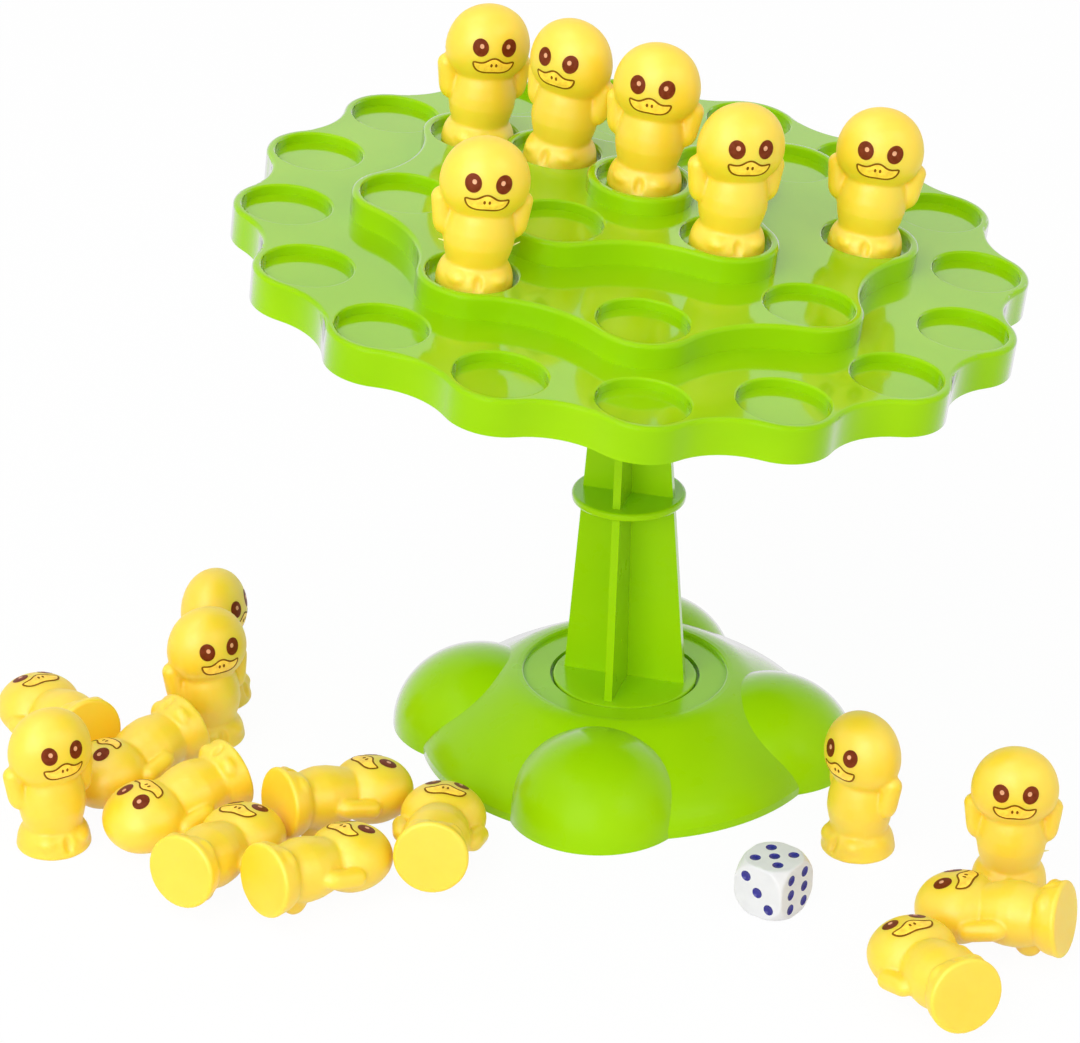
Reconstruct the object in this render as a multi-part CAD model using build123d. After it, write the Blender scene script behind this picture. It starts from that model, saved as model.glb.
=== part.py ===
from build123d import *
import os
from math import cos, hypot, radians, sin

# Balancing tree game: a flower-shaped base, a finned trunk, a tray of cups that rocks on
# the trunk's ball tip, twenty duck figures and one die. Millimetres, +Z up. The origin is
# the middle of the base, on the surface that the game stands on.

# Base
BASE_EDGE_R = 50.6
BASE_WALL = 2.2
BASE_RIM_Z = 19.4
DOME_EDGE_Z = 2.0
DOME_SHOULDER = (43.5, 10.4)
DOME_TOP = (33.0, 17.0)
PAN_R = 25.2
PAN_DEPTH = 1.2
PAN_ROUND = 0.5
PAN_LIP = 1.5
LOBE_COUNT = 4
LOBE_TURN = 80.5
LOBE_CENTRE_R = 36.6
LOBE_R = 21.8
LOBE_HEIGHT = 20.0
RIB_T = 1.6
RIB_LOW_Z = 1.0
RIB_TOP_Z = 9.0
SOCKET_FLOOR = 2.0
SOCKET_WALL = 2.0

# Trunk
FOOT_R = 17.8
FOOT_T = 2.0
FOOT_GAP = 0.75
FOOT_ROUND = 0.5
PLUG_R = 14.2
PLUG_CLEARANCE = 0.08
PLUG_LENGTH = 11.5
PLUG_WALL = 1.8
FIN_T = 1.9
FIN_TURN = 75.0
FIN_FOOT_R = 15.4
FIN_TOP_R = 6.3
FIN_TOP_Z = 131.0
FIN_SUNK = 0.5
COLLAR_R = 13.9
COLLAR_T = 2.0
COLLAR_Z = 68.5
COLLAR_ROUND = 0.7
TIP_R = 3.0
NECK_R = 2.2
NECK_SUNK = 8.0
PIVOT_Z = 137.0

# Pivot cap, a half shell on the ball tip
CAP_CLEARANCE = 0.05
CAP_R = 5.5

# Tray, in its own frame: z = 0 is the top of the lowest tier, on the tray's axis
TRAY_LEAN_FRONT = 3.33
TRAY_LEAN_RIGHT = 5.80
PIVOT_ABOVE_TIER = 2.8
TRAY_WALL = 1.8
SKIRT_DEPTH = 9.0
CUP_R = 10.5
CUP_DEPTH = 2.4
CUP_FLOOR_T = 1.5
CUP_WALL = 1.6
CUP_TURN = 137.1
LOBE_EDGE_R = 12.6
EDGE_ROUND = 1.0
CUP_ROUND = 0.6
# Each tier: top height, cups in its ring, ring radius, radius at the waist between lobes
TIERS = [
    (0.0, 16, 81.7, 88.4),
    (5.9, 8, 54.4, 57.2),
    (11.9, 4, 27.4, 27.2),
]
CROWN_TOP = 15.9
CROWN_R = 12.8
HUB_R = 12.2
HUB_WALL = 1.6
HUB_DEPTH = 6.0
SEAT_BOSS_R = 8.0
SEAT_GAP = 0.3

# Duck figure: z = 0 under its foot disc, face towards -Y
DUCK_DISC_R = 8.9
DUCK_DISC_T = 1.5
DUCK_DISC_ROUND = 0.6
HEAD_Z = 25.8
HEAD_SIZE = (10.25, 8.1, 9.9)
TORSO_SIZE = (8.1, 7.5)
CHIN_Z = 19.0
CHIN_R = 6.6
WAIST_Z = 6.4
WAIST_R = 7.0
BELLY_Z = 11.0
FEET_SIZE = (8.6, 7.9)
FEET_TOP = 6.2
FEET_ROUND = 2.2
CLEFT_R = 1.3
CLEFT_DEPTH = 0.9
ELBOW = (7.7, 0.9, 12.6)
ELBOW_R = 1.3
HAND = (9.35, 1.4, 20.2)
HAND_R = 2.2
TAIL_SIZE = (2.4, 3.5, 3.4)
TAIL_Y = 6.84
TAIL_Z = 9.2
LYING_TIP = 7.5

# Ducks on the tray: tier number, cup number in the ring, turn of the face, and how far
# the foot disc stands off the middle of its cup
TRAY_DUCKS = [
    (2, 0, 14, 0.8, -0.4),
    (3, 0, -28, 0.9, -0.2),
    (4, 0, -11, 0.7, 0.4),
    (3, 2, 16, 0.4, -0.6),
    (2, 5, -5, -0.2, -0.8),
    (2, 2, 7, 0.6, -0.3),
]
# Ducks standing on the table: x, y, turn of the face
STANDING_DUCKS = [
    (-103.5, 15.5, 76),
    (-103.2, -4.9, 33),
    (-134.6, -58.2, 34),
    (56.4, -50.6, -50),
    (91.1, -65.4, -4),
]
# Ducks lying on their backs: x and y of the foot disc, way the head points, roll
LYING_DUCKS = [
    (-129.8, -25.6, 128, 3),
    (-106.8, -20.1, 227, 11),
    (-93.2, -42.4, 220, -1),
    (-100.9, -89.2, 61, -5),
    (-81.6, -92.0, 43, -8),
    (-81.1, -57.3, 34, -8),
    (-43.9, -80.2, 86, 4),
    (100.8, -100.0, 157, 3),
    (76.4, -133.3, 115, -6),
]

# Die
DIE_EDGE = 13.4
DIE_BALL_R = 9.1
DIE_ROUND = 0.6
PIP_R = 1.2
PIP_STEP = 3.1
PIP_DEPTH = 0.4
DIE_X = 35.5
DIE_Y = -78.6
DIE_TURN = 54.3


def along(radius, angle, z=0.0):
    """The point at this radius and compass angle."""
    return Vector(radius * cos(radians(angle)), radius * sin(radians(angle)), z)


def ellipsoid(size, centre):
    """A ball of radius 1 stretched to three half sizes, at its centre."""
    return Pos(*centre) * scale(Sphere(1), by=size)


def club(start, end, thin, thick):
    """A round-ended rod between two points that grows from thin to thick."""
    length = (end - start).length
    upright = Pos(0, 0, length / 2) * Cone(thin, thick, length)
    upright += Sphere(thin)
    upright += Pos(0, 0, length) * Sphere(thick)
    return Plane(origin=start, z_dir=end - start) * upright


def round_edges(solid, radius, chosen):
    """Fillets the chosen edges."""
    return solid.fillet(radius, chosen)


def wavy_outline(count, ring_r, waist_r, turn, inset=0.0):
    """A face whose edge runs round each cup of a ring and draws in between the cups."""
    lobe_r = LOBE_EDGE_R - inset
    half = 180.0 / count
    gap = (
        ring_r**2
        + waist_r**2
        - 2 * ring_r * waist_r * cos(radians(half))
        - LOBE_EDGE_R**2
    )
    slope = 2 * ring_r * cos(radians(half)) + 2 * LOBE_EDGE_R - 2 * waist_r
    hollow_r = gap / slope
    hollow_centre_r = waist_r + hollow_r
    edges = []
    for k in range(count):
        middle = turn + k * 2 * half
        lobe = along(ring_r, middle)
        before = along(hollow_centre_r, middle - half)
        after = along(hollow_centre_r, middle + half)
        start = lobe + (before - lobe).normalized() * lobe_r
        end = lobe + (after - lobe).normalized() * lobe_r
        beyond = along(ring_r, middle + 2 * half)
        onward = beyond + (after - beyond).normalized() * lobe_r
        edges.append(ThreePointArc(start, along(ring_r + lobe_r, middle), end))
        edges.append(ThreePointArc(end, along(waist_r - inset, middle + half), onward))
    return make_face(Wire(edges))


def block(face, low, high):
    """A face on z = 0 raised to a slab between two heights."""
    return Pos(0, 0, low) * extrude(face, amount=high - low)


def disc(radius, low, high):
    """An upright cylinder between two heights, on the Z axis."""
    return Pos(0, 0, (low + high) / 2) * Cylinder(radius, high - low)


def recess(radius, floor, mouth, rounding):
    """What a round recess takes out, with its mouth's edge rounded, on the Z axis."""
    wide = radius + rounding
    slope = rounding * sin(radians(45))
    profile = Wire(
        [
            Line((0, floor), (radius, floor)),
            Line((radius, floor), (radius, mouth - rounding)),
            ThreePointArc(
                (radius, mouth - rounding),
                (wide - slope, mouth - rounding + slope),
                (wide, mouth),
            ),
            Line((wide, mouth), (wide, mouth + 1)),
            Line((wide, mouth + 1), (0, mouth + 1)),
            Line((0, mouth + 1), (0, floor)),
        ]
    )
    return revolve(Plane.XZ * make_face(profile), Axis.Z)


def lobe_angles():
    return [LOBE_TURN + k * 360 / LOBE_COUNT for k in range(LOBE_COUNT)]


def base_dome(inset):
    """The flared middle of the base, from the pan's rim down to the table."""
    edge = BASE_EDGE_R - inset
    top = BASE_RIM_Z - inset
    profile = Wire(
        [
            Line((0, 0), (edge, 0)),
            Line((edge, 0), (edge, DOME_EDGE_Z)),
            Spline(
                (edge, DOME_EDGE_Z),
                (DOME_SHOULDER[0] - inset, DOME_SHOULDER[1] - inset / 2),
                (DOME_TOP[0] - inset, DOME_TOP[1] - inset),
                (PAN_R + PAN_LIP - inset, top),
                tangents=((-0.35, 1.0), (-1.0, 0.1)),
            ),
            Line((PAN_R + PAN_LIP - inset, top), (0, top)),
            Line((0, top), (0, 0)),
        ]
    )
    section = Plane.XZ * make_face(profile)
    return revolve(section, Axis.Z)


def base_lobes(inset):
    """Four rounded lobes, cut flat where they meet the table."""
    size = (LOBE_R - inset, LOBE_R - inset, LOBE_HEIGHT - inset)
    upper = Pos(0, 0, LOBE_HEIGHT) * Box(4 * BASE_EDGE_R, 4 * BASE_EDGE_R, 2 * LOBE_HEIGHT)
    lobes = []
    for angle in lobe_angles():
        at = along(LOBE_CENTRE_R, angle)
        lobes.append(ellipsoid(size, (at.X, at.Y, 0)) & upper)
    return lobes


def make_base():
    outside = base_dome(0)
    for lobe in base_lobes(0):
        outside += lobe
    inside = base_dome(BASE_WALL)
    for lobe in base_lobes(BASE_WALL):
        inside += lobe
    pan_floor = BASE_RIM_Z - PAN_DEPTH
    ledge = pan_floor - FOOT_T
    socket_r = PLUG_R + PLUG_CLEARANCE
    post = disc(FOOT_R + FOOT_GAP + SOCKET_WALL, 0, BASE_RIM_Z)
    ribs = []
    for angle in lobe_angles():
        rib = Pos(PAN_R, 0, (RIB_LOW_Z + RIB_TOP_Z) / 2)
        rib = rib * Box(2 * PAN_R, RIB_T, RIB_TOP_Z - RIB_LOW_Z)
        ribs.append(Rot(0, 0, angle + 180 / LOBE_COUNT) * rib)
    inside -= post
    for rib in ribs:
        inside -= rib
    base = outside - inside
    base -= recess(PAN_R, pan_floor, BASE_RIM_Z, PAN_ROUND)
    base -= disc(FOOT_R + FOOT_GAP, ledge, BASE_RIM_Z)
    base -= disc(socket_r, SOCKET_FLOOR, BASE_RIM_Z)
    return base


def fin_plate():
    """One pair of opposite fins, as an upright tapered plate across the axis."""
    low = BASE_RIM_Z - PAN_DEPTH - FIN_SUNK
    outline = Polyline(
        (-FIN_FOOT_R, low),
        (FIN_FOOT_R, low),
        (FIN_TOP_R, FIN_TOP_Z),
        (-FIN_TOP_R, FIN_TOP_Z),
        close=True,
    )
    return extrude(Plane.XZ * make_face(outline), amount=FIN_T / 2, both=True)


def make_trunk():
    foot_top = BASE_RIM_Z - PAN_DEPTH
    foot_low = foot_top - FOOT_T
    foot = disc(FOOT_R, foot_low, foot_top)
    foot = round_edges(foot, FOOT_ROUND, foot.edges().group_by(Axis.Z)[-1])
    plug = disc(PLUG_R, foot_low - PLUG_LENGTH, foot_low)
    plug -= disc(PLUG_R - PLUG_WALL, foot_low - PLUG_LENGTH, foot_low)
    trunk = foot + plug
    cross = Box(2 * PLUG_R - PLUG_WALL, FIN_T, PLUG_LENGTH)
    for turn in (FIN_TURN, FIN_TURN + 90):
        trunk += Rot(0, 0, turn) * fin_plate()
        trunk += Rot(0, 0, turn) * Pos(0, 0, foot_low - PLUG_LENGTH / 2) * cross
    collar = disc(COLLAR_R, COLLAR_Z - COLLAR_T, COLLAR_Z)
    collar = round_edges(collar, COLLAR_ROUND, collar.edges().filter_by(GeomType.CIRCLE))
    trunk += collar
    trunk += disc(NECK_R, FIN_TOP_Z - NECK_SUNK, PIVOT_Z)
    trunk += Pos(0, 0, PIVOT_Z) * Sphere(TIP_R)
    return trunk


def make_cap():
    """The half shell that lies on the ball tip and carries the tray."""
    shell = Sphere(CAP_R) - Sphere(TIP_R + CAP_CLEARANCE)
    shell &= Pos(0, 0, CAP_R) * Box(4 * CAP_R, 4 * CAP_R, 2 * CAP_R)
    return Pos(0, 0, PIVOT_Z) * Rot(TRAY_LEAN_FRONT, 0, 0) * shell


def cup_places():
    """Each cup's tier number, centre and rim height, the crown's own cup last."""
    places = []
    for tier, (top, count, ring_r, waist_r) in enumerate(TIERS, start=1):
        for k in range(count):
            places.append((tier, k, along(ring_r, CUP_TURN + k * 360 / count), top))
    places.append((len(TIERS) + 1, 0, Vector(0, 0, 0), CROWN_TOP))
    return places


def tray_outside():
    """The stepped body with its wavy tiers, edges softly rounded."""
    body = None
    low = -SKIRT_DEPTH
    for top, count, ring_r, waist_r in TIERS:
        step = block(wavy_outline(count, ring_r, waist_r, CUP_TURN), low, top)
        step = round_edges(step, EDGE_ROUND, step.edges().group_by(Axis.Z)[-1])
        body = step if body is None else body + step
        low = top - TRAY_WALL
    crown = disc(CROWN_R, low, CROWN_TOP)
    crown = round_edges(crown, EDGE_ROUND, crown.edges().group_by(Axis.Z)[-1])
    return body + crown


def tray_hollow():
    """The space under the tiers, less the cups' walls and the hub."""
    hollow = None
    for top, count, ring_r, waist_r in TIERS:
        outline = wavy_outline(count, ring_r, waist_r, CUP_TURN, TRAY_WALL)
        part = block(outline, -SKIRT_DEPTH, top - TRAY_WALL)
        hollow = part if hollow is None else hollow + part
    for tier, k, at, top in cup_places()[:-1]:
        low = top - CUP_DEPTH - CUP_FLOOR_T
        tube = disc(CUP_R + CUP_WALL, low, top)
        hollow -= Pos(at.X, at.Y, 0) * tube
    hub = disc(HUB_R + HUB_WALL, -HUB_DEPTH, CROWN_TOP)
    hub -= disc(HUB_R, -HUB_DEPTH, TIERS[-1][0] - TRAY_WALL)
    return hollow - hub


def tray_seat():
    """The boss under the crown's cup, with a half-ball seat for the pivot cap."""
    top = CROWN_TOP - CUP_DEPTH
    boss = disc(SEAT_BOSS_R, PIVOT_ABOVE_TIER + SEAT_GAP, top)
    return boss - Pos(0, 0, PIVOT_ABOVE_TIER) * Sphere(CAP_R + CAP_CLEARANCE)


def tray_place():
    """Where the tray's own frame stands: leant to the front and to the right."""
    pivot = Pos(0, 0, PIVOT_Z) * Rot(TRAY_LEAN_FRONT, 0, 0) * Rot(0, TRAY_LEAN_RIGHT, 0)
    return pivot * Pos(0, 0, -PIVOT_ABOVE_TIER)


def make_tray():
    tray = tray_outside() - tray_hollow()
    tray += tray_seat()
    for tier, k, at, top in cup_places():
        tray -= Pos(at.X, at.Y, 0) * recess(CUP_R, top - CUP_DEPTH, top, CUP_ROUND)
    return tray_place() * tray


def duck_feet():
    """The pair of feet, one rounded block on the foot disc with a cleft between the toes."""
    block_top = disc(FEET_SIZE[0], DUCK_DISC_T / 2, FEET_TOP)
    upper = block_top.edges().group_by(Axis.Z)[-1]
    feet = round_edges(block_top, FEET_ROUND, upper)
    cleft_y = CLEFT_DEPTH - CLEFT_R - FEET_SIZE[0]
    feet -= Pos(0, cleft_y, FEET_TOP) * Cylinder(CLEFT_R, 2 * FEET_TOP)
    feet = scale(feet, by=(1, FEET_SIZE[1] / FEET_SIZE[0], 1))
    foot_disc = disc(DUCK_DISC_R, 0, DUCK_DISC_T)
    rims = foot_disc.edges().filter_by(GeomType.CIRCLE)
    return feet + round_edges(foot_disc, DUCK_DISC_ROUND, rims)


def duck_torso():
    """The barrel-shaped body, a little flatter from front to back."""
    profile = Wire(
        [
            Line((0, 1), (WAIST_R, 1)),
            Spline(
                (WAIST_R, 1),
                (WAIST_R, WAIST_Z),
                (TORSO_SIZE[0], BELLY_Z),
                (CHIN_R, CHIN_Z),
            ),
            Line((CHIN_R, CHIN_Z), (0, CHIN_Z)),
            Line((0, CHIN_Z), (0, 1)),
        ]
    )
    torso = revolve(Plane.XZ * make_face(profile), Axis.Z)
    return scale(torso, by=(1, TORSO_SIZE[1] / TORSO_SIZE[0], 1))


def make_duck():
    """One duck figure, standing at the origin and facing -Y."""
    duck = duck_feet() + duck_torso()
    duck += ellipsoid(HEAD_SIZE, (0, 0, HEAD_Z))
    for side in (-1, 1):
        elbow = Vector(side * ELBOW[0], ELBOW[1], ELBOW[2])
        hand = Vector(side * HAND[0], HAND[1], HAND[2])
        duck += club(elbow, hand, ELBOW_R, HAND_R)
    duck += ellipsoid(TAIL_SIZE, (0, TAIL_Y, TAIL_Z))
    return duck


def lying_place(x, y, head_way, roll):
    """A duck on its back, head resting on the table and its foot disc tipped up."""
    tip = radians(LYING_TIP)
    head_down = HEAD_Z * sin(tip)
    head_deep = hypot(HEAD_SIZE[1] * cos(tip), HEAD_SIZE[2] * sin(tip))
    rise = head_down + head_deep
    lay = Rot(0, 0, head_way - 90) * Rot(-90 - LYING_TIP, 0, 0) * Rot(0, 0, roll)
    return Pos(x, y, rise) * lay


def duck_places():
    """Where each of the twenty ducks stands or lies, by name."""
    centres = {(tier, k): (at, top) for tier, k, at, top in cup_places()}
    places = []
    for tier, k, turn, off_x, off_y in TRAY_DUCKS:
        at, top = centres[(tier, k)]
        stand = Pos(at.X + off_x, at.Y + off_y, top - CUP_DEPTH)
        places.append(tray_place() * stand * Rot(0, 0, turn))
    for x, y, turn in STANDING_DUCKS:
        places.append(Pos(x, y, 0) * Rot(0, 0, turn))
    for x, y, head_way, roll in LYING_DUCKS:
        places.append(lying_place(x, y, head_way, roll))
    return {f"duck_{n:02d}": place for n, place in enumerate(places, start=1)}


def pip_marks(count):
    """Places of a face's pips, in steps from its middle."""
    marks = {
        1: [(0, 0)],
        2: [(-1, -1), (1, 1)],
        3: [(-1.15, -1), (0, 0), (1.15, 1)],
        4: [(-1, -1), (-1, 1), (1, -1), (1, 1)],
        5: [(-1, -1), (-1, 1), (0, 0), (1, -1), (1, 1)],
        6: [(-1, -1.22), (-1, 0), (-1, 1.22), (1, -1.22), (1, 0), (1, 1.22)],
    }
    return marks[count]


def make_die():
    """A die with ball-turned corners and dished pips, five up."""
    half = DIE_EDGE / 2
    die = Box(DIE_EDGE, DIE_EDGE, DIE_EDGE) & Sphere(DIE_BALL_R)
    die = round_edges(die, DIE_ROUND, die.edges().filter_by(GeomType.CIRCLE))
    ball_r = (PIP_R**2 + PIP_DEPTH**2) / (2 * PIP_DEPTH)
    turns = {
        5: Rot(0, 0, 0),
        2: Rot(180, 0, 0),
        3: Rot(0, -90, 0),
        4: Rot(0, 90, 0),
        6: Rot(90, 0, 0),
        1: Rot(-90, 0, 0),
    }
    for count, turn in turns.items():
        for u, v in pip_marks(count):
            high = half + ball_r - PIP_DEPTH
            die -= turn * Pos(u * PIP_STEP, v * PIP_STEP, high) * Sphere(ball_r)
    return Pos(DIE_X, DIE_Y, half) * Rot(0, 0, DIE_TURN) * die


def main():
    os.makedirs("parts", exist_ok=True)
    nodes = {
        "base": make_base(),
        "trunk": make_trunk(),
        "pivot_cap": make_cap(),
        "tray": make_tray(),
        "die": make_die(),
    }
    duck = make_duck()
    for name, place in duck_places().items():
        nodes[name] = place * duck
    for name, shape in nodes.items():
        shape.label = name
        export_step(shape, f"parts/{name}.step")


main()
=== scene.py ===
from math import cos, pi, radians, sin, hypot

import bpy
from mathutils import Matrix, Vector


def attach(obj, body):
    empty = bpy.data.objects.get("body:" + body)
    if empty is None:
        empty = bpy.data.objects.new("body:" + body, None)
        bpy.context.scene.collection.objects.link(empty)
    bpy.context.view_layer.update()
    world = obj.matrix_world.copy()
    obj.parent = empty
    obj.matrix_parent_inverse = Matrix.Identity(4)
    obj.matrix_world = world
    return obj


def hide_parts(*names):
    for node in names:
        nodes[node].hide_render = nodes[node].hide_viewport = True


# A balancing tree game: green base, trunk and tray of cups, yellow duck figures and a die.
# Lengths here are in millimetres times MM, which makes metres.
MM = 0.001

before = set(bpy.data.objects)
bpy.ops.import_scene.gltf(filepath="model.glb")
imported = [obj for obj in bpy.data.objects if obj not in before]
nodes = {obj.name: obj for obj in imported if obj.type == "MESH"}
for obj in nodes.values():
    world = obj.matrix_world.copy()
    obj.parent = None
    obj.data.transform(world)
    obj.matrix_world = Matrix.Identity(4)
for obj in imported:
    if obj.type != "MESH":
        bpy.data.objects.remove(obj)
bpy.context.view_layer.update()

# Camera, as solved from the photograph: focal length in pixels on a frame 1080 wide
FRAME_WIDTH = 1080
FOCAL_PIXELS = 4000
SENSOR = 36
CAMERA_PLACE = (0, -874.5, 488.1)
CAMERA_YAW = -1.408
CAMERA_PITCH = 26.106
CAMERA_ROLL = 0.699

# Where the tray stands, as in the solids
PIVOT_Z = 137.0
TRAY_LEAN_FRONT = 3.33
TRAY_LEAN_RIGHT = 5.80
PIVOT_ABOVE_TIER = 2.8
CUP_DEPTH = 2.4
CUP_TURN = 137.1
# Each tier's top height, cups in its ring and ring radius; the crown has one cup
TIERS = {1: (0.0, 16, 81.7), 2: (5.9, 8, 54.4), 3: (11.9, 4, 27.4), 4: (15.9, 1, 0.0)}

# Ducks on the tray: tier, cup, turn of the face, and how far off the cup's middle
TRAY_DUCKS = [
    (2, 0, 14, 0.8, -0.4),
    (3, 0, -28, 0.9, -0.2),
    (4, 0, -11, 0.7, 0.4),
    (3, 2, 16, 0.4, -0.6),
    (2, 5, -5, -0.2, -0.8),
    (2, 2, 7, 0.6, -0.3),
]
# Ducks standing on the table: x, y and turn; then those lying: x, y, way of the head and roll
STANDING_DUCKS = [
    (-103.5, 15.5, 76),
    (-103.2, -4.9, 33),
    (-134.6, -58.2, 34),
    (56.4, -50.6, -50),
    (91.1, -65.4, -4),
]
LYING_DUCKS = [
    (-129.8, -25.6, 128, 3),
    (-106.8, -20.1, 227, 11),
    (-93.2, -42.4, 220, -1),
    (-100.9, -89.2, 61, -5),
    (-81.6, -92.0, 43, -8),
    (-81.1, -57.3, 34, -8),
    (-43.9, -80.2, 86, 4),
    (100.8, -100.0, 157, 3),
    (76.4, -133.3, 115, -6),
]
LYING_TIP = 7.5

# Duck figure, standing at the origin with its face towards -Y
HEAD_Z = 25.8
HEAD_SIZE = (10.25, 8.1, 9.9)
CHEEK_DROP = 0.7
CHEEK_BAND = 0.5
CHEEK_REACH = 8
# Rings of the torso and of the feet's block, from below: height and radius
TORSO_RINGS = [(1.0, 6.8), (6.4, 7.0), (8.4, 7.6), (11.0, 8.1), (14.0, 7.9), (17.0, 7.2), (19.5, 6.3)]
FEET_RINGS = [(0.8, 8.8), (2.0, 8.75), (3.2, 8.55), (4.3, 8.15), (5.2, 7.6), (6.0, 6.7)]
TORSO_FLAT = 0.94
FEET_FLAT = 0.98
CLEFT_PLACE = (0, -9.9, 4.4)
CLEFT_SIZE = (1.6, 2.9, 3.8)
TOES_PLACE = (3.5, -3.5, 3.6)
TOES_SIZE = (3.7, 4.3, 2.6)
DISC_R = 8.9
DISC_T = 1.5
DISC_ROUND = 0.5
ELBOW = (8.45, 0.9, 15.0)
ELBOW_R = 2.35
ELBOW_DROP = 3.6
HAND = (9.2, 1.4, 20.2)
HAND_R = 2.35
TAIL_SIZE = (2.4, 3.5, 3.4)
TAIL_PLACE = (0, 6.84, 9.2)
SKIN_VOXEL = 0.36
SKIN_SMOOTHING = 10

# Face print, drawn flat in front of the head and pressed onto it
PRINT_START_Y = -12
EYE_PLACE = (3.42, 27.85)
EYE_SIZE = (1.86, 2.16)
GLINT_PLACE = (0.22, 0.38)
GLINT_SIZE = (0.5, 0.55)
# Half of the bill's edge, from the middle of its top to the middle of its bottom
BILL_EDGE = [
    (0, 25.7), (1.1, 25.4), (2.4, 24.35), (3.7, 24.3), (4.85, 24.5),
    (5.15, 24.0), (4.95, 23.1), (4.3, 22.0), (3.1, 21.35), (1.5, 21.25), (0, 21.4),
]
BILL_LINE = 0.42
NOSTRIL_PLACE = (0.58, 23.6)
NOSTRIL_SIZE = (0.29, 0.47)
# Height of the prints above the skin, the lowest first
FILM_LIFT = 0.03
LINE_LIFT = 0.045
GLINT_LIFT = 0.075
PRINT_T = 0.04

# Pale threads of moulding flash by the figure's number: root and tip of each
FLASH = {
    6: [((-7.3, -1, 10.4), (-9.2, -1, 10.8)), ((7.3, -1, 10), (9.3, -1, 11.2))],
    11: [((7.3, -1, 9.6), (8.9, -1, 9.9))],
}
FLASH_R = 0.28
FLASH_ROUND = 0.06

# Die
DIE_EDGE = 13.4
DIE_BALL_R = 9.55
DIE_ROUND = 1.3
DIE_EDGE_ANGLE = 30
DIE_CREASE_ANGLE = 35
DIE_VOXEL = 0.2
DIE_SMOOTHING = 36
PIP_R = 1.32
PIP_DEPTH = 0.5
PIP_STEP = 3.1
DIE_PLACE = (35.5, -78.6)
DIE_TURN = 54.3


def vector(x, y, z):
    return Vector((x, y, z)) * MM


def turn_about(axis, angle):
    return Matrix.Rotation(radians(angle), 4, axis)


def move_to(x, y, z):
    return Matrix.Translation(vector(x, y, z))


def make_camera():
    """The photograph's own view."""
    yaw, pitch, roll = radians(CAMERA_YAW), radians(CAMERA_PITCH), radians(CAMERA_ROLL)
    ahead = Vector((sin(yaw) * cos(pitch), cos(yaw) * cos(pitch), -sin(pitch)))
    level = Vector((cos(yaw), -sin(yaw), 0))
    upright = level.cross(ahead)
    right = cos(roll) * level + sin(roll) * upright
    up = -sin(roll) * level + cos(roll) * upright
    bpy.ops.object.camera_add()
    camera = bpy.context.object
    camera.name = "photo_camera"
    place = vector(*CAMERA_PLACE)
    camera.matrix_world = Matrix.Translation(place) @ Matrix((right, up, -ahead)).transposed().to_4x4()
    camera.data.sensor_fit = "HORIZONTAL"
    camera.data.sensor_width = SENSOR
    camera.data.lens = SENSOR * FOCAL_PIXELS / FRAME_WIDTH
    camera.data.clip_start = 0.05
    bpy.context.scene.camera = camera


def make_light(name, place, aim, size, power):
    """A soft square lamp aimed at a point."""
    bpy.ops.object.light_add(type="AREA", location=place)
    lamp = bpy.context.object
    lamp.name = name
    lamp.data.shape = "SQUARE"
    lamp.data.size = size
    lamp.data.energy = power
    lamp.rotation_euler = (Vector(aim) - Vector(place)).to_track_quat("-Z", "Y").to_euler()


WORLD_LIGHT = 0.66


def make_world():
    """Even pale light, and white where the camera or a reflection sees past the floor."""
    world = bpy.data.worlds.new("studio")
    bpy.context.scene.world = world
    world.use_nodes = True
    tree = world.node_tree
    tree.nodes.clear()
    out = tree.nodes.new("ShaderNodeOutputWorld")
    mix = tree.nodes.new("ShaderNodeMixShader")
    light = tree.nodes.new("ShaderNodeBackground")
    white = tree.nodes.new("ShaderNodeBackground")
    light.inputs["Strength"].default_value = WORLD_LIGHT
    light.inputs["Color"].default_value = (1, 1, 1, 1)
    white.inputs["Strength"].default_value = 1
    white.inputs["Color"].default_value = (1, 1, 1, 1)
    tree.links.new(seen_directly(tree), mix.inputs["Fac"])
    tree.links.new(light.outputs[0], mix.inputs[1])
    tree.links.new(white.outputs[0], mix.inputs[2])
    tree.links.new(mix.outputs[0], out.inputs["Surface"])


def seen_directly(tree):
    """1 for what the camera sees, straight or in gloss or through clear plastic, else 0."""
    path = tree.nodes.new("ShaderNodeLightPath")
    gloss = tree.nodes.new("ShaderNodeMath")
    clear = tree.nodes.new("ShaderNodeMath")
    gloss.operation = "MAXIMUM"
    clear.operation = "MAXIMUM"
    tree.links.new(path.outputs["Is Camera Ray"], gloss.inputs[0])
    tree.links.new(path.outputs["Is Glossy Ray"], gloss.inputs[1])
    tree.links.new(gloss.outputs[0], clear.inputs[0])
    tree.links.new(path.outputs["Is Transmission Ray"], clear.inputs[1])
    return clear.outputs[0]


FLOOR_ALBEDO = 0.92
FLOOR_GLOW = 0.96


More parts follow.
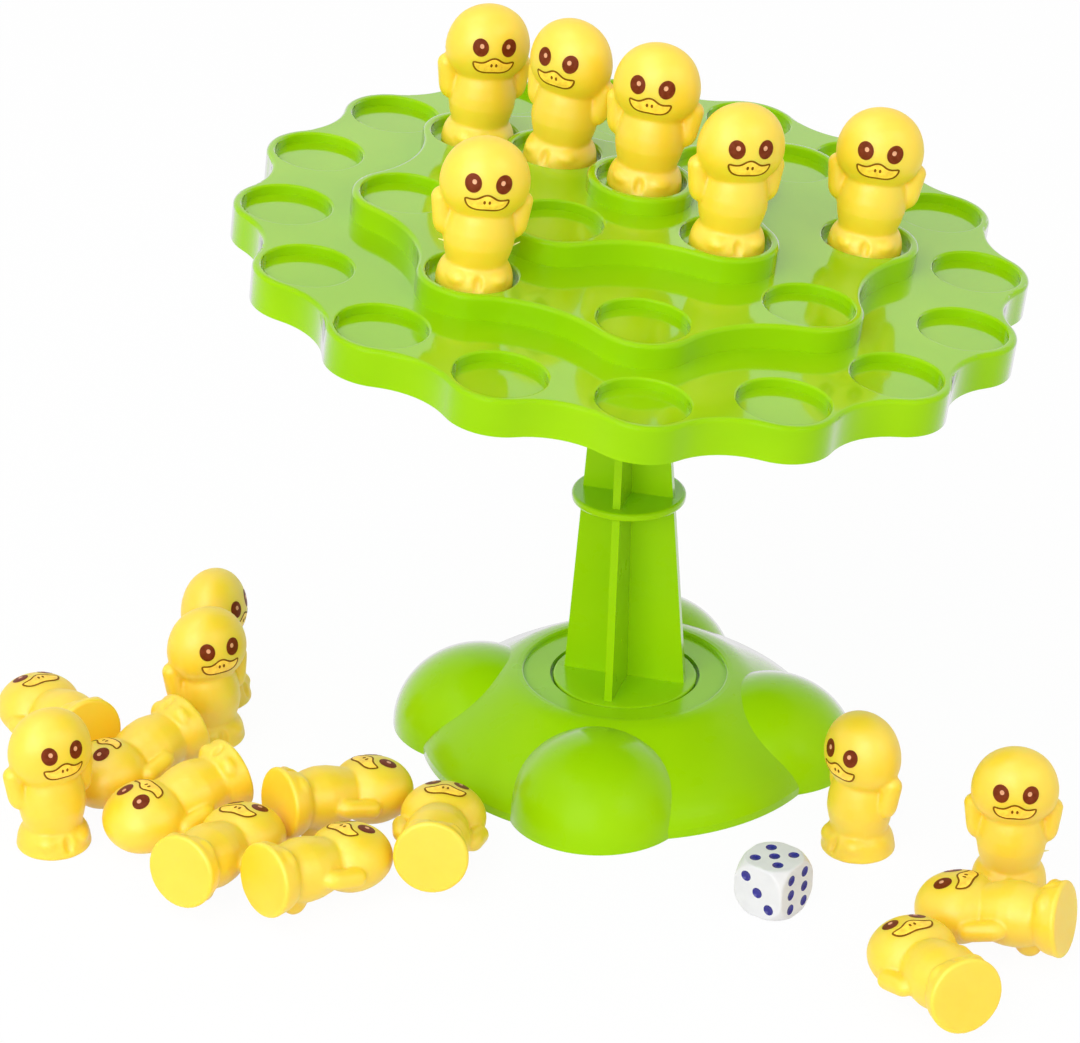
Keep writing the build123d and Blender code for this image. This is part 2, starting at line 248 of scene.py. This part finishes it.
def make_floor():
    """A white table that keeps the object's soft shadow."""
    bpy.ops.mesh.primitive_plane_add(size=6)
    floor = bpy.context.object
    floor.name = "table_top"
    material = bpy.data.materials.new("white_table")
    material.use_nodes = True
    tree = material.node_tree
    tree.nodes.clear()
    out = tree.nodes.new("ShaderNodeOutputMaterial")
    mix = tree.nodes.new("ShaderNodeMixShader")
    matte = tree.nodes.new("ShaderNodeBsdfDiffuse")
    glow = tree.nodes.new("ShaderNodeEmission")
    share = tree.nodes.new("ShaderNodeMath")
    share.operation = "MULTIPLY"
    share.inputs[1].default_value = FLOOR_GLOW
    matte.inputs["Color"].default_value = (FLOOR_ALBEDO, FLOOR_ALBEDO, FLOOR_ALBEDO, 1)
    glow.inputs["Color"].default_value = (1, 1, 1, 1)
    tree.links.new(seen_directly(tree), share.inputs[0])
    tree.links.new(share.outputs[0], mix.inputs["Fac"])
    tree.links.new(matte.outputs[0], mix.inputs[1])
    tree.links.new(glow.outputs[0], mix.inputs[2])
    tree.links.new(mix.outputs[0], out.inputs["Surface"])
    floor.data.materials.append(material)


def start_material(name):
    """A new material with its shader, its tree and its shader node."""
    material = bpy.data.materials.new(name)
    material.use_nodes = True
    tree = material.node_tree
    return material, tree, tree.nodes["Principled BSDF"]


def object_noise(tree, size, detail):
    """Noise that keeps to the object; size is that of one patch, in millimetres."""
    place = tree.nodes.new("ShaderNodeTexCoord")
    noise = tree.nodes.new("ShaderNodeTexNoise")
    noise.inputs["Scale"].default_value = 1 / (size * MM)
    noise.inputs["Detail"].default_value = detail
    tree.links.new(place.outputs["Object"], noise.inputs["Vector"])
    return noise.outputs["Fac"]


# The range that most of the noise lies in, for values and for tones
VALUE_RANGE = (0.3, 0.7)
TONE_RANGE = (0.35, 0.65)


def between(tree, factor, low, high):
    """The factor spread over a range of values."""
    spread = tree.nodes.new("ShaderNodeMapRange")
    spread.inputs["From Min"].default_value = VALUE_RANGE[0]
    spread.inputs["From Max"].default_value = VALUE_RANGE[1]
    spread.inputs["To Min"].default_value = low
    spread.inputs["To Max"].default_value = high
    tree.links.new(factor, spread.inputs["Value"])
    return spread.outputs["Result"]


def two_tones(tree, factor, first, second):
    """A colour between two near tones."""
    ramp = tree.nodes.new("ShaderNodeValToRGB")
    ramp.color_ramp.elements[0].position = TONE_RANGE[0]
    ramp.color_ramp.elements[1].position = TONE_RANGE[1]
    ramp.color_ramp.elements[0].color = (*first, 1)
    ramp.color_ramp.elements[1].color = (*second, 1)
    tree.links.new(factor, ramp.inputs["Fac"])
    return ramp.outputs["Color"]


def add_bump(tree, shader, factor, depth):
    """Shallow unevenness, its depth in millimetres."""
    bump = tree.nodes.new("ShaderNodeBump")
    bump.inputs["Strength"].default_value = 1
    bump.inputs["Distance"].default_value = depth * MM
    tree.links.new(factor, bump.inputs["Height"])
    tree.links.new(bump.outputs["Normal"], shader.inputs["Normal"])


# How steeply the gloss grows towards the side
GRAZING_POWER = 5


def add_grazing_gloss(tree, shader, gain, roughness):
    """Gloss that grows as the surface is seen more from the side."""
    out = tree.nodes["Material Output"]
    weight = tree.nodes.new("ShaderNodeLayerWeight")
    curve = tree.nodes.new("ShaderNodeMath")
    share = tree.nodes.new("ShaderNodeMath")
    gloss = tree.nodes.new("ShaderNodeBsdfGlossy")
    mix = tree.nodes.new("ShaderNodeMixShader")
    curve.operation = "POWER"
    curve.inputs[1].default_value = GRAZING_POWER
    share.operation = "MULTIPLY"
    share.use_clamp = True
    share.inputs[1].default_value = gain
    gloss.inputs["Roughness"].default_value = roughness
    tree.links.new(weight.outputs["Facing"], curve.inputs[0])
    tree.links.new(curve.outputs[0], share.inputs[0])
    tree.links.new(share.outputs[0], mix.inputs["Fac"])
    tree.links.new(shader.outputs[0], mix.inputs[1])
    tree.links.new(gloss.outputs[0], mix.inputs[2])
    tree.links.new(mix.outputs[0], out.inputs["Surface"])


def green_plastic(name, dark, light, smooth, rough, grazing, blur):
    """Moulded plastic, its tone and its gloss faintly uneven as a moulding's are."""
    material, tree, shader = start_material(name)
    tone = two_tones(tree, object_noise(tree, 30, 2), dark, light)
    tree.links.new(tone, shader.inputs["Base Color"])
    tree.links.new(between(tree, object_noise(tree, 6, 3), smooth, rough), shader.inputs["Roughness"])
    shader.inputs["Specular IOR Level"].default_value = 0.09
    shader.inputs["Subsurface Weight"].default_value = 0.15
    shader.inputs["Subsurface Radius"].default_value = (0.5, 1.0, 0.1)
    shader.inputs["Subsurface Scale"].default_value = 1.5 * MM
    add_grazing_gloss(tree, shader, grazing, blur)
    return material


def duck_plastic():
    """Satin yellow plastic with a soft depth to it."""
    material, tree, shader = start_material("duck_yellow")
    patches = object_noise(tree, 12, 2)
    tone = two_tones(tree, patches, (1.0, 0.665, 0.022), (1.0, 0.695, 0.034))
    tree.links.new(tone, shader.inputs["Base Color"])
    tree.links.new(between(tree, object_noise(tree, 2, 3), 0.40, 0.48), shader.inputs["Roughness"])
    add_bump(tree, shader, object_noise(tree, 0.8, 2), 0.02)
    shader.inputs["Specular IOR Level"].default_value = 1.0
    shader.inputs["Subsurface Weight"].default_value = 0.6
    shader.inputs["Subsurface Radius"].default_value = (1.0, 0.5, 0.08)
    shader.inputs["Subsurface Scale"].default_value = 3 * MM
    return material


# How much lighter an ink is where it is thin
INK_GAIN = 1.3
INK_HAZE = 0.006


def print_ink(name, colour, roughness, shine):
    """Printed ink, a little thinner in places."""
    material, tree, shader = start_material(name)
    lighter = tuple(channel * INK_GAIN + INK_HAZE for channel in colour)
    tone = two_tones(tree, object_noise(tree, 1.2, 2), colour, lighter)
    tree.links.new(tone, shader.inputs["Base Color"])
    shader.inputs["Roughness"].default_value = roughness
    shader.inputs["Specular IOR Level"].default_value = shine
    return material


def die_plastic():
    """White plastic, very slightly clouded."""
    material, tree, shader = start_material("die_white")
    tone = two_tones(tree, object_noise(tree, 5, 2), (0.69, 0.69, 0.705), (0.735, 0.735, 0.75))
    tree.links.new(tone, shader.inputs["Base Color"])
    tree.links.new(between(tree, object_noise(tree, 2, 2), 0.28, 0.38), shader.inputs["Roughness"])
    shader.inputs["Subsurface Weight"].default_value = 0.3
    shader.inputs["Subsurface Radius"].default_value = (1, 1, 1)
    shader.inputs["Subsurface Scale"].default_value = 1 * MM
    return material


def deselect():
    """Nothing stays selected for the next tool to act on."""
    if bpy.context.object and bpy.context.object.mode != "OBJECT":
        bpy.ops.object.mode_set(mode="OBJECT")
    bpy.ops.object.select_all(action="DESELECT")


def take(*objects):
    """Only these objects are selected, and the first is the active one."""
    deselect()
    for obj in objects:
        obj.select_set(True)
    bpy.context.view_layer.objects.active = objects[0]


def settle():
    """The place, turn and size of the active object go into its mesh."""
    bpy.ops.object.transform_apply(location=True, rotation=True, scale=True)
    return bpy.context.object


def joined(name, *parts):
    """Several objects made one."""
    take(*parts)
    bpy.ops.object.join()
    whole = bpy.context.object
    whole.name = name
    return whole


def apply_modifier(obj, kind, **settings):
    """Adds one modifier with these settings and applies it."""
    take(obj)
    bpy.ops.object.modifier_add(type=kind)
    modifier = obj.modifiers[-1]
    for key, value in settings.items():
        setattr(modifier, key, value)
    bpy.ops.object.modifier_apply(modifier=modifier.name)


def ball(centre, size):
    """A ball stretched to three half sizes, in millimetres."""
    deselect()
    bpy.ops.mesh.primitive_uv_sphere_add(
        segments=48, ring_count=32, radius=MM, location=vector(*centre), scale=size
    )
    return settle()


def choose(obj, test):
    """Goes to edit mode with only the points that pass the test selected."""
    take(obj)
    bpy.ops.object.mode_set(mode="EDIT")
    bpy.ops.mesh.select_mode(type="VERT")
    bpy.ops.mesh.select_all(action="DESELECT")
    bpy.ops.object.mode_set(mode="OBJECT")
    for point in obj.data.vertices:
        point.select = test(point.co)
    bpy.ops.object.mode_set(mode="EDIT")


def duck_head():
    """The round head, its cheeks a little below its middle."""
    head = ball((0, 0, HEAD_Z), HEAD_SIZE)
    choose(head, lambda place: abs(place.z - HEAD_Z * MM) < CHEEK_BAND * MM)
    bpy.ops.transform.translate(
        value=vector(0, 0, -CHEEK_DROP),
        use_proportional_edit=True,
        proportional_edit_falloff="SMOOTH",
        proportional_size=CHEEK_REACH * MM,
    )
    bpy.ops.object.mode_set(mode="OBJECT")
    return head


def lofted(rings, flat):
    """A body drawn upwards ring by ring, then flattened from front to back."""
    low, radius = rings[0]
    deselect()
    bpy.ops.mesh.primitive_circle_add(
        vertices=64, radius=radius * MM, fill_type="NGON", location=vector(0, 0, low)
    )
    body = settle()
    bpy.ops.object.mode_set(mode="EDIT")
    bpy.ops.mesh.select_all(action="SELECT")
    for (below, before), (above, after) in zip(rings, rings[1:]):
        bpy.ops.mesh.extrude_region_move(
            TRANSFORM_OT_translate={"value": vector(0, 0, above - below)}
        )
        grow = after / before
        bpy.ops.transform.resize(value=(grow, grow, 1), center_override=vector(0, 0, above))
    bpy.ops.mesh.select_all(action="SELECT")
    bpy.ops.mesh.normals_make_consistent(inside=False)
    bpy.ops.transform.resize(value=(1, flat, 1), center_override=(0, 0, 0))
    bpy.ops.object.mode_set(mode="OBJECT")
    return body


def duck_feet():
    """A low block with a cleft in front, and plump toes on each side of it."""
    feet = lofted(FEET_RINGS, FEET_FLAT)
    groove = ball(CLEFT_PLACE, CLEFT_SIZE)
    apply_modifier(feet, "BOOLEAN", operation="DIFFERENCE", object=groove, solver="EXACT")
    bpy.data.objects.remove(groove)
    across, ahead, up = TOES_PLACE
    toes = [ball((side * across, ahead, up), TOES_SIZE) for side in (-1, 1)]
    return [feet] + toes


def duck_disc():
    """The foot disc, its rims rounded."""
    deselect()
    bpy.ops.mesh.primitive_cylinder_add(
        vertices=96, radius=DISC_R * MM, depth=DISC_T * MM, location=vector(0, 0, DISC_T / 2)
    )
    disc = settle()
    apply_modifier(disc, "BEVEL", width=DISC_ROUND * MM, segments=4, limit_method="ANGLE")
    return disc


def duck_arm(side):
    """A raised arm, a ball drawn out up to the hand and stretched down below the elbow."""
    elbow = vector(side * ELBOW[0], ELBOW[1], ELBOW[2])
    hand = vector(side * HAND[0], HAND[1], HAND[2])
    reach = hand - elbow
    deselect()
    bpy.ops.mesh.primitive_uv_sphere_add(segments=32, ring_count=24, radius=HAND_R * MM)
    arm = bpy.context.object
    choose(arm, lambda place: place.z <= 1e-6)
    thin = ELBOW_R / HAND_R
    drop = ELBOW_DROP / HAND_R
    bpy.ops.transform.resize(value=(thin, thin, drop), center_override=(0, 0, 0))
    bpy.ops.mesh.select_all(action="INVERT")
    bpy.ops.transform.translate(value=(0, 0, reach.length))
    bpy.ops.object.mode_set(mode="OBJECT")
    arm.rotation_euler = reach.to_track_quat("Z", "Y").to_euler()
    arm.location = elbow
    return settle()


def make_duck_skin():
    """The whole figure as one moulding, its parts run together softly."""
    torso = lofted(TORSO_RINGS, TORSO_FLAT)
    parts = [torso, duck_disc(), duck_head(), ball(TAIL_PLACE, TAIL_SIZE)]
    parts += duck_feet()
    parts += [duck_arm(side) for side in (-1, 1)]
    skin = joined("duck_pattern", *parts)
    apply_modifier(skin, "REMESH", mode="VOXEL", voxel_size=SKIN_VOXEL * MM)
    apply_modifier(skin, "SMOOTH", factor=0.5, iterations=SKIN_SMOOTHING)
    take(skin)
    bpy.ops.object.shade_smooth()
    return skin


def oval(x, z, size):
    """A flat oval in front of the face, finely divided."""
    deselect()
    bpy.ops.mesh.primitive_circle_add(
        vertices=32,
        radius=MM,
        fill_type="TRIFAN",
        location=vector(x, PRINT_START_Y, z),
        rotation=(pi / 2, 0, 0),
    )
    bpy.context.object.scale = (size[0], size[1], 1)
    shape = settle()
    bpy.ops.object.mode_set(mode="EDIT")
    bpy.ops.mesh.select_all(action="SELECT")
    bpy.ops.mesh.subdivide(number_cuts=2)
    bpy.ops.object.mode_set(mode="OBJECT")
    return shape


def laid_on(shape, skin, lift):
    """Presses a flat print onto the skin from the front."""
    apply_modifier(
        shape,
        "SHRINKWRAP",
        target=skin,
        wrap_method="PROJECT",
        use_project_y=True,
        use_positive_direction=True,
        use_negative_direction=False,
        offset=lift * MM,
    )
    apply_modifier(shape, "SOLIDIFY", thickness=PRINT_T * MM, offset=0)
    return shape


def drawn_face(edge):
    """A flat face drawn corner by corner in front of the head."""
    corners = [vector(x, PRINT_START_Y, z) for x, z in edge]
    deselect()
    bpy.ops.mesh.primitive_plane_add(size=MM, location=corners[0])
    face = settle()
    bpy.ops.object.mode_set(mode="EDIT")
    bpy.ops.mesh.select_all(action="SELECT")
    bpy.ops.mesh.merge(type="CENTER")
    for start, end in zip(corners, corners[1:]):
        bpy.ops.mesh.extrude_region_move(TRANSFORM_OT_translate={"value": end - start})
    bpy.ops.mesh.select_all(action="SELECT")
    bpy.ops.mesh.edge_face_add()
    bpy.ops.mesh.normals_make_consistent(inside=False)
    bpy.ops.object.mode_set(mode="OBJECT")
    return face


def make_face_print(skin, inks):
    """Eyes with glints, and a bill drawn as one line with two nostrils."""
    brown, glint, film, line = inks
    parts = []

    def printed(shape, ink, lift):
        laid_on(shape, skin, lift)
        shape.data.materials.clear()
        shape.data.materials.append(ink)
        parts.append(shape)

    for side in (-1, 1):
        x = side * EYE_PLACE[0]
        z = EYE_PLACE[1]
        printed(oval(x, z, EYE_SIZE), brown, FILM_LIFT)
        glint_x = x - side * GLINT_PLACE[0]
        printed(oval(glint_x, z + GLINT_PLACE[1], GLINT_SIZE), glint, GLINT_LIFT)
        nostril = oval(side * NOSTRIL_PLACE[0], NOSTRIL_PLACE[1], NOSTRIL_SIZE)
        printed(nostril, line, GLINT_LIFT)
    mirrored = [(-x, z) for x, z in reversed(BILL_EDGE[1:-1])]
    face = drawn_face(BILL_EDGE + mirrored)
    bpy.ops.object.mode_set(mode="EDIT")
    bpy.ops.mesh.select_all(action="SELECT")
    bpy.ops.mesh.inset(thickness=BILL_LINE * MM)
    bpy.ops.mesh.separate(type="SELECTED")
    bpy.ops.object.mode_set(mode="OBJECT")
    middle = [obj for obj in bpy.context.selected_objects if obj != face][0]
    for shape, fineness, ink, lift in ((face, 2, line, LINE_LIFT), (middle, 3, film, FILM_LIFT)):
        apply_modifier(shape, "SUBSURF", levels=fineness, render_levels=fineness)
        printed(shape, ink, lift)
    return joined("face_pattern", *parts)


def tray_place():
    """The tray's own frame, leant to the front and to the right."""
    lean = turn_about("X", TRAY_LEAN_FRONT) @ turn_about("Y", TRAY_LEAN_RIGHT)
    return move_to(0, 0, PIVOT_Z) @ lean @ move_to(0, 0, -PIVOT_ABOVE_TIER)


def cup_floor(tier, cup):
    """The middle of a cup's floor, in the tray's own frame."""
    top, count, ring_r = TIERS[tier]
    angle = radians(CUP_TURN + cup * 360 / count)
    return move_to(ring_r * cos(angle), ring_r * sin(angle), top - CUP_DEPTH)


def lying_place(x, y, head_way, roll):
    """A duck on its back, its head on the table and its foot disc tipped up."""
    tip = radians(LYING_TIP)
    rise = HEAD_Z * sin(tip) + hypot(HEAD_SIZE[1] * cos(tip), HEAD_SIZE[2] * sin(tip))
    lay = turn_about("Z", head_way - 90) @ turn_about("X", -90 - LYING_TIP) @ turn_about("Z", roll)
    return move_to(x, y, rise) @ lay


def duck_places():
    """Where each duck is, in the order of their numbers."""
    places = []
    for tier, cup, turn, off_x, off_y in TRAY_DUCKS:
        stand = cup_floor(tier, cup) @ move_to(off_x, off_y, 0)
        places.append(tray_place() @ stand @ turn_about("Z", turn))
    for x, y, turn in STANDING_DUCKS:
        places.append(move_to(x, y, 0) @ turn_about("Z", turn))
    for x, y, head_way, roll in LYING_DUCKS:
        places.append(lying_place(x, y, head_way, roll))
    return places


def copied(pattern, name, place):
    """A copy of a pattern piece, with its own mesh put in its place."""
    mesh = pattern.data.copy()
    mesh.transform(place)
    mesh.name = name
    piece = bpy.data.objects.new(name, mesh)
    bpy.context.scene.collection.objects.link(piece)
    return piece


def flash_thread(start, end):
    """A thin thread that narrows to a point."""
    reach = vector(*end) - vector(*start)
    deselect()
    bpy.ops.mesh.primitive_cone_add(
        vertices=16, radius1=FLASH_R * MM, radius2=FLASH_R * MM / 4, depth=reach.length
    )
    thread = bpy.context.object
    thread.rotation_euler = reach.to_track_quat("Z", "Y").to_euler()
    thread.location = vector(*start) + reach / 2
    settle()
    apply_modifier(thread, "BEVEL", width=FLASH_ROUND * MM, segments=2, limit_method="ANGLE")
    return thread


def make_flash(number, place, material):
    """The threads of one figure, in its place."""
    threads = [flash_thread(start, end) for start, end in FLASH.get(number, [])]
    if threads:
        flash = joined(f"duck_{number:02d}_flash", *threads)
        flash.data.transform(place)
        flash.data.materials.append(material)
        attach(flash, f"duck_{number:02d}")


def make_ducks():
    """Twenty figures, all from one skin and one face print."""
    yellow = duck_plastic()
    inks = (
        print_ink("eye_brown", (0.15, 0.022, 0.002), 0.4, 0.1),
        print_ink("glint_peach", (0.68, 0.33, 0.18), 0.4, 0.3),
        print_ink("bill_film", (0.93, 0.60, 0.05), 0.4, 0.5),
        print_ink("bill_line", (0.19, 0.07, 0.002), 0.5, 0.05),
    )
    pale = print_ink("flash_pale", (0.72, 0.72, 0.32), 0.4, 0.3)
    skin = make_duck_skin()
    skin.data.materials.clear()
    skin.data.materials.append(yellow)
    face = make_face_print(skin, inks)
    for number, place in enumerate(duck_places(), start=1):
        body = f"duck_{number:02d}"
        figure = copied(skin, f"{body}_skin", place)
        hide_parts(body)
        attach(figure, body)
        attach(copied(face, f"{body}_print", place), body)
        make_flash(number, place, pale)
    bpy.data.objects.remove(skin)
    bpy.data.objects.remove(face)


def pip_marks():
    """Each face of the die: its turn and the places of its pips, in steps."""
    quarter = 90
    five = [(-0.92, -0.92), (-1.03, 1.03), (0, 0), (1.03, -1.03), (0.92, 0.92)]
    return [
        (turn_about("X", 0), five),
        (turn_about("X", 2 * quarter), [(-1, -1), (1, 1)]),
        (turn_about("Y", -quarter), [(-1.1, -1.05), (0, 0), (1.1, 1.05)]),
        (turn_about("Y", quarter), [(-1, -1), (-1, 1), (1, -1), (1, 1)]),
        (turn_about("X", quarter), [(u, v) for u in (-0.88, 0.88) for v in (-1.25, 0, 1.25)]),
        (turn_about("X", -quarter), [(0, 0)]),
    ]


def make_die():
    """A die cut to a ball at its corners, with dished blue pips."""
    white = die_plastic()
    blue = print_ink("pip_blue", (0.014, 0.011, 0.20), 0.18, 0.5)
    half = DIE_EDGE / 2
    dish_r = (PIP_R**2 + PIP_DEPTH**2) / (2 * PIP_DEPTH)
    deselect()
    bpy.ops.mesh.primitive_cube_add(size=DIE_EDGE * MM)
    die = bpy.context.object
    die.name = "die_body"
    deselect()
    bpy.ops.mesh.primitive_uv_sphere_add(segments=128, ring_count=64, radius=DIE_BALL_R * MM)
    rounder = bpy.context.object
    apply_modifier(die, "BOOLEAN", operation="INTERSECT", object=rounder, solver="EXACT")
    bpy.data.objects.remove(rounder)
    apply_modifier(
        die,
        "BEVEL",
        width=DIE_ROUND * MM,
        segments=4,
        limit_method="ANGLE",
        angle_limit=radians(DIE_EDGE_ANGLE),
    )
    apply_modifier(die, "REMESH", mode="VOXEL", voxel_size=DIE_VOXEL * MM)
    apply_modifier(die, "SMOOTH", factor=0.5, iterations=DIE_SMOOTHING)
    die.data.materials.append(white)
    cutters = []
    for turn, marks in pip_marks():
        for u, v in marks:
            centre = turn @ vector(u * PIP_STEP, v * PIP_STEP, half + dish_r - PIP_DEPTH)
            deselect()
            bpy.ops.mesh.primitive_uv_sphere_add(
                segments=48, ring_count=32, radius=dish_r * MM, location=centre
            )
            cutters.append(settle())
    cutter = joined("pip_cutter", *cutters)
    cutter.data.materials.append(blue)
    apply_modifier(
        die,
        "BOOLEAN",
        operation="DIFFERENCE",
        object=cutter,
        solver="EXACT",
        material_mode="TRANSFER",
    )
    bpy.data.objects.remove(cutter)
    take(die)
    bpy.ops.object.shade_smooth_by_angle(angle=radians(DIE_CREASE_ANGLE))
    die.data.transform(move_to(*DIE_PLACE, half) @ turn_about("Z", DIE_TURN))
    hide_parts("die")
    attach(die, "die")


def dress_node(name, material):
    """Gives a solid of the frame its finish."""
    mesh = nodes[name].data
    mesh.materials.clear()
    mesh.materials.append(material)


make_camera()
make_world()
make_floor()
make_light("top_softbox", (-0.5, -0.3, 1.3), (0, 0, 0.08), 1.0, 4.5)
make_light("front_softbox", (-0.6, -1.45, 0.8), (0, 0, 0.06), 1.3, 14.5)
make_light("side_softbox", (0.9, -0.9, 0.9), (0, 0, 0.08), 0.5, 2)

# The base and trunk are the same green plastic as the tray, but their tones are set lighter than the
# tray's. This is painted light where the tray shades them.
satin_painted_light = green_plastic(
    "green_satin",
    dark=(0.325, 0.63, 0.001),
    light=(0.35, 0.655, 0.002),
    smooth=0.26,
    rough=0.34,
    grazing=2.0,
    blur=0.16,
)
gloss = green_plastic(
    "green_gloss",
    dark=(0.275, 0.56, 0.001),
    light=(0.31, 0.60, 0.002),
    smooth=0.10,
    rough=0.16,
    grazing=2.5,
    blur=0.06,
)
dress_node("base", satin_painted_light)
dress_node("trunk", satin_painted_light)
dress_node("tray", gloss)
dress_node("pivot_cap", die_plastic())
make_ducks()
make_die()

bpy.context.scene.view_settings.view_transform = "Standard"
